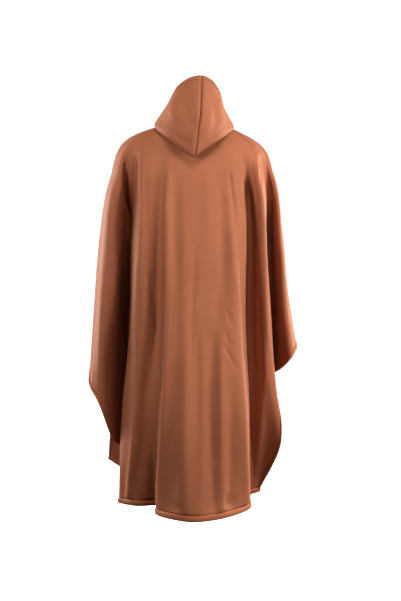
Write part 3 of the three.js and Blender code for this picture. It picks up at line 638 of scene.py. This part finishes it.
# the centre seam draws in, deeper up the outside, and the cloth is stitched beside it and by the rim
SEAM_DEEP, SEAM_DEEPER, SEAM_WIDE, SEAM_STITCH, SEAM_THIN_WIDE = 5.5, 5, 3.6 * MM, 5.5 * MM, 2.4 * MM
RIM_EXTRA, RIM_STITCH, RIM_ROUND = 3 * MM, 17 * MM, 3.4 * MM
STITCH_DEEP, STITCH_WIDE, SEWN_THINNER = 3 * MM, 2.8 * MM, 0.45
hood = Hanging([[neckline(h[0]), *h[1:]] for h in HOOD_LINES], HOOD_STATIONS, [0] * len(HOOD_LINES))
sewing_lines = {}


def trace(points, distance, wanted):
    """Where each line of points comes to a wanted distance, with distance growing along it."""
    found = []
    for line, along in zip(points, distance):
        order = np.argsort(along)
        found.append([np.interp(wanted, along[order], line[order, axis]) for axis in range(3)])
    return np.array(found)


def hood_half(name, first, last, seed):
    """Cuts one half, rolls and creases it, draws in its seam and turns its rim."""
    s, t, knot = columns(hood, first, last, HOOD_PITCH, least=4), HOOD_ROWS, hood.knots[SEAM_LINE]
    way = 1 if first == SEAM_LINE else -1
    s = np.sort(np.concatenate([s[np.abs(s - knot) > SEAM_REACH * 0.85], knot + way * BESIDE_HOOD_SEAM]))
    points = hood.at(s[:, None], t)
    outside = -grid_normals(points)
    behind = ease(0.1, 0.5, -outside[..., 1]) * (points[..., 2] < HOOD_TOP) * ease(FOLD_FROM, 0.5, t)
    lift = press(points[..., 0], points[..., 2], HOOD_CREASES) * behind
    u, v, _ = np.moveaxis(cloth_lengths(points), -1, 0)
    to_rim = v[:, -1:] - v
    lift += 0.8 * MM * soft_swells(u, v, 0.05, 0.07, seed) * ease(0.02, 0.08, v) * ease(0, 0.02, to_rim)
    from_seam = np.linalg.norm(points - hood.at(knot, t), axis=-1)
    up_outside = ease(0.6, 0.7, t) * ease(0.98, 0.85, t)
    deep = (SEAM_DEEP + SEAM_DEEPER * up_outside) * MM * ease(1.0, RIM_FROM, t)
    lift -= deep * np.exp(-(from_seam / SEAM_WIDE) ** 2)
    stitched = np.exp(-((to_rim - RIM_STITCH) / STITCH_WIDE) ** 2)
    lift -= STITCH_DEEP * stitched
    points += outside * lift[..., None]
    half = CLOTH_THICK / 2 + RIM_EXTRA / 2 * ease(RIM_STITCH + 3 * MM, RIM_STITCH - 2 * MM, to_rim)
    half *= 1 - SEWN_THINNER * stitched
    half *= np.sqrt(np.clip(1 - np.clip(1 - to_rim / RIM_ROUND, 0, 0.98) ** 2, 0.04, 1))
    at_seam = 0 if way == 1 else -1
    points[at_seam] += hood.across(s[at_seam], t) * (SEAM_GAP / 2 * way)
    half *= 1 - SEWN_THINNER * np.exp(-(from_seam / SEAM_THIN_WIDE) ** 2)
    piece = add_cloth(name, points[::-1], half[::-1], bonded_knit)
    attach(piece, "root")
    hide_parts(name)
    face = points + outside * half[..., None]
    sewn = slice(np.searchsorted(t, FOLD_FROM), np.searchsorted(t, RIM_FROM))
    sewing_lines[name] = [
        (trace(face, to_rim, RIM_STITCH), trace(outside, to_rim, RIM_STITCH)),
        tuple(trace(np.moveaxis(a, 0, 1)[sewn], from_seam.T[sewn], SEAM_STITCH) for a in (face, outside))]
    return piece


hood_left = hood_half("hood_left", 0, SEAM_LINE, seed=51)
hood_right = hood_half("hood_right", SEAM_LINE, len(HOOD_LINES) - 1, seed=57)

# ---------------------------------------------------------------- hem bands
# A doubled strip of the same knit folded round the bottom edge of each panel and stitched
# through, so that it stands up as a soft round roll. Its ends pass the side bindings.
HEM_THICK, BAND_PITCH = 10 * MM, 5 * MM
BAND_SIDES, STITCHED_SIDE, BAND_SQUARENESS = 16, 6, 0.75
# a finished end: share of its length, share of the band's thickness
ROUNDED_END = [(0, 1), (0.35, 1), (0.62, 0.93), (0.84, 0.78), (0.96, 0.55), (1, 0.25)]
END_PAST = {"past": 8 * MM, "flush": 3 * MM}
UNDER_HEM = 6 * MM
band_knit = knit_finish("edge_band", (0.33, 0.103, 0.041), (0.47, 0.168, 0.077), courses=120, wales=150)


def flat_limit(s, t, reach=0.25, share=0.45, least=1e-6):
    """The roll flattens where the cloth turns tightly."""
    spread = np.linalg.norm(cape.at(s - reach, t) - cape.at(s + reach, t), axis=-1)
    cosine = np.clip((cape.normal(s - reach, t) * cape.normal(s + reach, t)).sum(-1), -1, 1)
    return np.maximum(CLOTH_THICK / 2, share * spread / np.maximum(np.arccos(cosine), least))


def band_ring(s, width, thick, side, swell=1.0, scale=1.0):
    """One section of a band, a flattened round that closes on the panel's edge."""
    turn = np.linspace(0, 2 * math.pi, BAND_SIDES, endpoint=False)
    across, through = np.cos(turn), np.sin(turn)
    depth = 0.5 + 0.5 * np.sign(across) * np.abs(across) ** BAND_SQUARENESS * scale
    high = np.sign(through) * np.abs(through) ** BAND_SQUARENESS * thick / 2 * swell * scale
    t = 1 - strip_share(s, width, side) * (1 - depth)
    s = np.full_like(t, s)
    limit = flat_limit(s, t)
    return cape.at(s, t) + cape.normal(s, t) * np.clip(high, -limit, limit)[..., None]


def edge_band(name, first, last, width, thick, ends, seed):
    """Runs a band along the lower edge between two folds; ends say how each end is finished."""
    dense = columns(cape, FOLD[first], FOLD[last], 1 * MM, least=24)
    edge = cape.at(dense, 1.0)
    run = np.concatenate([[0], np.cumsum(np.linalg.norm(np.diff(edge, axis=0), axis=-1))])
    low = UNDER_HEM if ends[0] == "under" else 0
    high = run[-1] - (UNDER_HEM if ends[1] == "under" else 0)
    places = np.linspace(low, high, max(8, round((high - low) / BAND_PITCH)))
    s = np.interp(places, run, dense)
    swell = 1 + 0.06 * soft_swells(places, places * 0, 0.03, 1, seed) + 0.05 * soft_swells(
        places, places * 0, 0.09, 1, seed + 1)
    rings, along = [], []
    for i, (k, puff, d) in enumerate(zip(s, swell, places)):
        side = 1 if i == 0 else -1 if i == len(s) - 1 else 0
        end = ends[0] if i == 0 else ends[1] if side else None
        if end in END_PAST:
            outward = edge_round(k, side) * -side
            for share, scale in ROUNDED_END[::-1] if i == 0 else ROUNDED_END:
                ring = band_ring(k, width, thick, side, puff, scale)
                rings.append(ring + outward * END_PAST[end] * share)
                along.append(d - side * END_PAST[end] * share)
        elif end == "seam":
            ring = band_ring(k, width, thick, side, puff)
            rings.append(ring + edge_round(k, side) * side * SEAM_GAP / 2)
            along.append(d)
        else:
            rings.append(band_ring(k, width, thick, 0, puff))
            along.append(d)
    rings = np.array(rings)
    body = rings[len(ROUNDED_END):-len(ROUNDED_END)]
    stitched = body[:, STITCHED_SIDE]
    sewing_lines[name] = [(stitched, unit(stitched - body.mean(axis=1)))]
    number = np.arange(len(rings) * BAND_SIDES).reshape(-1, BAND_SIDES)
    beside = np.roll(number, -1, axis=1)
    faces = np.stack([number[:-1], beside[:-1], beside[1:], number[1:]], axis=-1).reshape(-1, 4).tolist()
    faces += [number[0][::-1].tolist(), number[-1].tolist()]
    round_band = 2 * (width + thick) * 0.8
    rise = np.linspace(0, round_band, BAND_SIDES, endpoint=False)
    lengths = np.stack(np.broadcast_arrays(rise, np.array(along)[:, None], 0.0), axis=-1)
    piece = add_mesh(name, rings.reshape(-1, 3), faces, lengths.reshape(-1, 3), band_knit)
    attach(piece, "root")
    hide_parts(name)
    return piece


hem_bands = {
    name: edge_band(name, first, last, HEM_WIDTH, HEM_THICK, ends, seed)
    for name, first, last, ends, seed in [
        ("back_hem_band", "back left corner", "back right corner", ("past", "past"), 61),
        ("front_left_hem_band", "front left opening", "front left corner", ("seam", "flush"), 63),
        ("front_right_hem_band", "front right corner", "front right opening", ("flush", "seam"), 65),
    ]
}

# ---------------------------------------------------------------- side bindings
# A narrow folded binding up each open side, from the hem band to the fold of the wing,
# where the front's binding meets the back's.
SIDE_THICK = 7 * MM
side_bands = {
    name: edge_band(name, first, last, SIDE_WIDTH, SIDE_THICK, ends, seed)
    for name, first, last, ends, seed in [
        ("back_left_side_band", "left seam", "back left corner", ("seam", "under"), 71),
        ("back_right_side_band", "back right corner", "right seam", ("under", "seam"), 73),
        ("front_left_side_band", "front left corner", "left seam", ("under", "seam"), 75),
        ("front_right_side_band", "right seam", "front right corner", ("seam", "under"), 77),
    ]
}

# ---------------------------------------------------------------- topstitching
# Lock stitch in matching thread, 3 mm long, holds down every band and binding, the hood's
# turned rim, and both sides of its centre seam. Each stitch pulls a little into the knit.
THREAD, HALF_STITCH, PITCH = 0.45 * MM, 1.5 * MM, 4.4 * MM
# one stitch from end to end: its place, thickness and height
STITCH_PLACE = np.array([-1, -0.75, 0, 0.75, 1])
STITCH_THICK = np.array([0.3, 0.9, 1, 0.9, 0.3])
STITCH_HIGH = np.array([-0.5, -0.1, 0.2, -0.1, -0.5])


def thread_finish(dark, light):
    """Two-ply thread: a fine slanted twist, and a little fuzz."""
    finish = Finish("matching_thread", Specular_IOR_Level=0.45)
    place = finish.node("ShaderNodeAttribute", {"attribute_name": "on_cloth"}, output=1)
    twist = finish.node("ShaderNodeTexWave", {"bands_direction": "DIAGONAL"},
                        {"Vector": place, "Scale": 260.0})
    fuzz = finish.noise(place, (700, 700, 700))
    colour = finish.colour(0.5 + fuzz + (twist - 0.5) * 0.4, dark, light)
    return finish.surface(colour, 0.5 + fuzz * 0.2, [(twist, 0.1 * MM)])


matching_thread = thread_finish((0.19, 0.055, 0.022), (0.33, 0.11, 0.05))


def follow(values, run, at):
    """The values of a line of points at places along its run."""
    return np.stack([np.interp(at, run, values[:, axis]) for axis in range(3)], axis=-1)


def sew(name, lines, sides=6):
    """Lays stitches along lines of points, each line with the directions that face out of the cloth."""
    along, radius, high = STITCH_PLACE * HALF_STITCH, STITCH_THICK * THREAD, STITCH_HIGH * THREAD
    turn = np.linspace(0, 2 * math.pi, sides, endpoint=False)
    vertices, faces, lengths = [], [], []
    for points, facing in lines:
        run = np.concatenate([[0], np.cumsum(np.linalg.norm(np.diff(points, axis=0), axis=-1))])
        places = np.arange(PITCH / 2, run[-1] - PITCH / 2, PITCH)
        out = unit(follow(facing, run, places))[:, None, None]
        ahead = unit(follow(points, run, places + 1 * MM) - follow(points, run, places - 1 * MM))
        ahead = ahead[:, None, None]
        beside = np.cross(ahead, out)
        middle = follow(points, run, places)[:, None, None]
        ring = out * np.cos(turn)[:, None] + beside * np.sin(turn)[:, None]
        stitch = (middle + ahead * along[:, None, None] + out * high[:, None, None]
                  + ring * radius[:, None, None])
        first = sum(len(v) for v in vertices)
        number = first + np.arange(stitch[..., 0].size).reshape(stitch.shape[:3])
        after = np.roll(number, -1, axis=2)
        walls = np.stack([number[:, :-1], after[:, :-1], after[:, 1:], number[:, 1:]], axis=-1)
        faces += walls.reshape(-1, 4).tolist() + number[:, 0, ::-1].tolist() + number[:, -1].tolist()
        vertices.append(stitch.reshape(-1, 3))
        distance = places[:, None, None] + along[:, None] + 0 * turn
        round_thread = 0 * distance + THREAD * turn
        lengths.append(np.stack([distance, round_thread, 0 * distance], axis=-1).reshape(-1, 3))
    piece = add_mesh(name, np.concatenate(vertices), faces, np.concatenate(lengths), matching_thread)
    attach(piece, "root")


sew("hem_stitching", [line for name in hem_bands for line in sewing_lines[name]])
sew("side_stitching", [line for name in side_bands for line in sewing_lines[name]])
sew("hood_stitching", sewing_lines["hood_left"] + sewing_lines["hood_right"])

# ---------------------------------------------------------------- studio
# A pale floor below the hem and a plain white surround. Soft boxes stand above, to each side
# and low behind the cloak, and two more before it light its outer edges.
FLOOR_HEIGHT, WALL_TOP = -1.46, 12
STAGE_REACH, WALL_SIDES = 14, 24


def plain_finish(name, grey, glow):
    finish = Finish(name, Base_Color=(grey, grey, grey, 1), Roughness=0.9, Specular_IOR_Level=0.1,
                    Emission_Color=(1, 1, 1, 1), Emission_Strength=glow)
    return finish.material


def add_stage(name, vertices, faces, finish):
    mesh = bpy.data.meshes.new(name)
    mesh.from_pydata(vertices, [], faces)
    mesh.materials.append(finish)
    thing = bpy.data.objects.new(name, mesh)
    bpy.context.scene.collection.objects.link(thing)
    return thing


floor = add_stage("floor", [(x * STAGE_REACH, y * STAGE_REACH, FLOOR_HEIGHT)
                            for x, y in ((-1, -1), (1, -1), (1, 1), (-1, 1))],
                  [(0, 1, 2, 3)], plain_finish("pale_floor", 0.8, 0.92))
turns = [2 * math.pi * i / WALL_SIDES for i in range(WALL_SIDES)]
wall_faces = [(i, (i + 1) % WALL_SIDES, WALL_SIDES + (i + 1) % WALL_SIDES, WALL_SIDES + i)
              for i in range(WALL_SIDES)]
wall = add_stage("surround_wall", [(STAGE_REACH * math.cos(a), STAGE_REACH * math.sin(a), z)
                                   for z in (FLOOR_HEIGHT, WALL_TOP) for a in turns],
                 wall_faces + [tuple(range(WALL_SIDES, 2 * WALL_SIDES))],
                 plain_finish("pale_wall", 0.0, 1.0))
for thing in (floor, wall):
    thing.visible_diffuse = thing.visible_glossy = thing.visible_transmission = False
wall.visible_shadow = False

world = bpy.data.worlds.new("surround")
bpy.context.scene.world = world
world.use_nodes = True
world.node_tree.nodes["Background"].inputs["Color"].default_value = (1, 1, 1, 1)
world.node_tree.nodes["Background"].inputs["Strength"].default_value = 0.02


def soft_box(name, place, aim, size, watts):
    light = bpy.data.lights.new(name, "AREA")
    light.shape, light.size, light.energy = "SQUARE", size, watts
    box = bpy.data.objects.new(name, light)
    box.location = place
    box.rotation_euler = (Vector(aim) - Vector(place)).to_track_quat("-Z", "Y").to_euler()
    bpy.context.scene.collection.objects.link(box)


soft_box("top_box", (0.4, -1.6, 2.2), (0, 0, -0.4), 1.0, 38)
soft_box("left_box", (-1.8, -1.8, 0.4), (0, 0, -0.4), 0.9, 35)
soft_box("right_box", (2.2, -1.0, 0.0), (0, 0, -0.8), 0.9, 60)
soft_box("low_box", (1.0, -2.4, -0.9), (0.1, 0, -1.0), 0.8, 5)
soft_box("left_edge_box", (-2.3, 1.4, -0.2), (-0.2, 0, -0.7), 0.9, 80)
soft_box("right_edge_box", (2.3, 1.4, -0.2), (0.2, 0, -0.7), 0.9, 66)

SENSOR, FRAME_HEIGHT, LENS_PIXELS, TILT_PIXELS = 36, 601, 1268, 69.5
camera = bpy.data.cameras.new("camera")
camera.sensor_width, camera.lens = SENSOR, LENS_PIXELS / FRAME_HEIGHT * SENSOR
view = bpy.data.objects.new("camera", camera)
view.location = (0.02, -4.5, -0.36)
view.rotation_euler = (math.pi / 2 - math.atan(TILT_PIXELS / LENS_PIXELS), 0, 0)
bpy.context.scene.collection.objects.link(view)
bpy.context.scene.camera = view
bpy.context.scene.view_settings.view_transform = "Standard"
bpy.context.scene.view_settings.look = "Medium High Contrast"
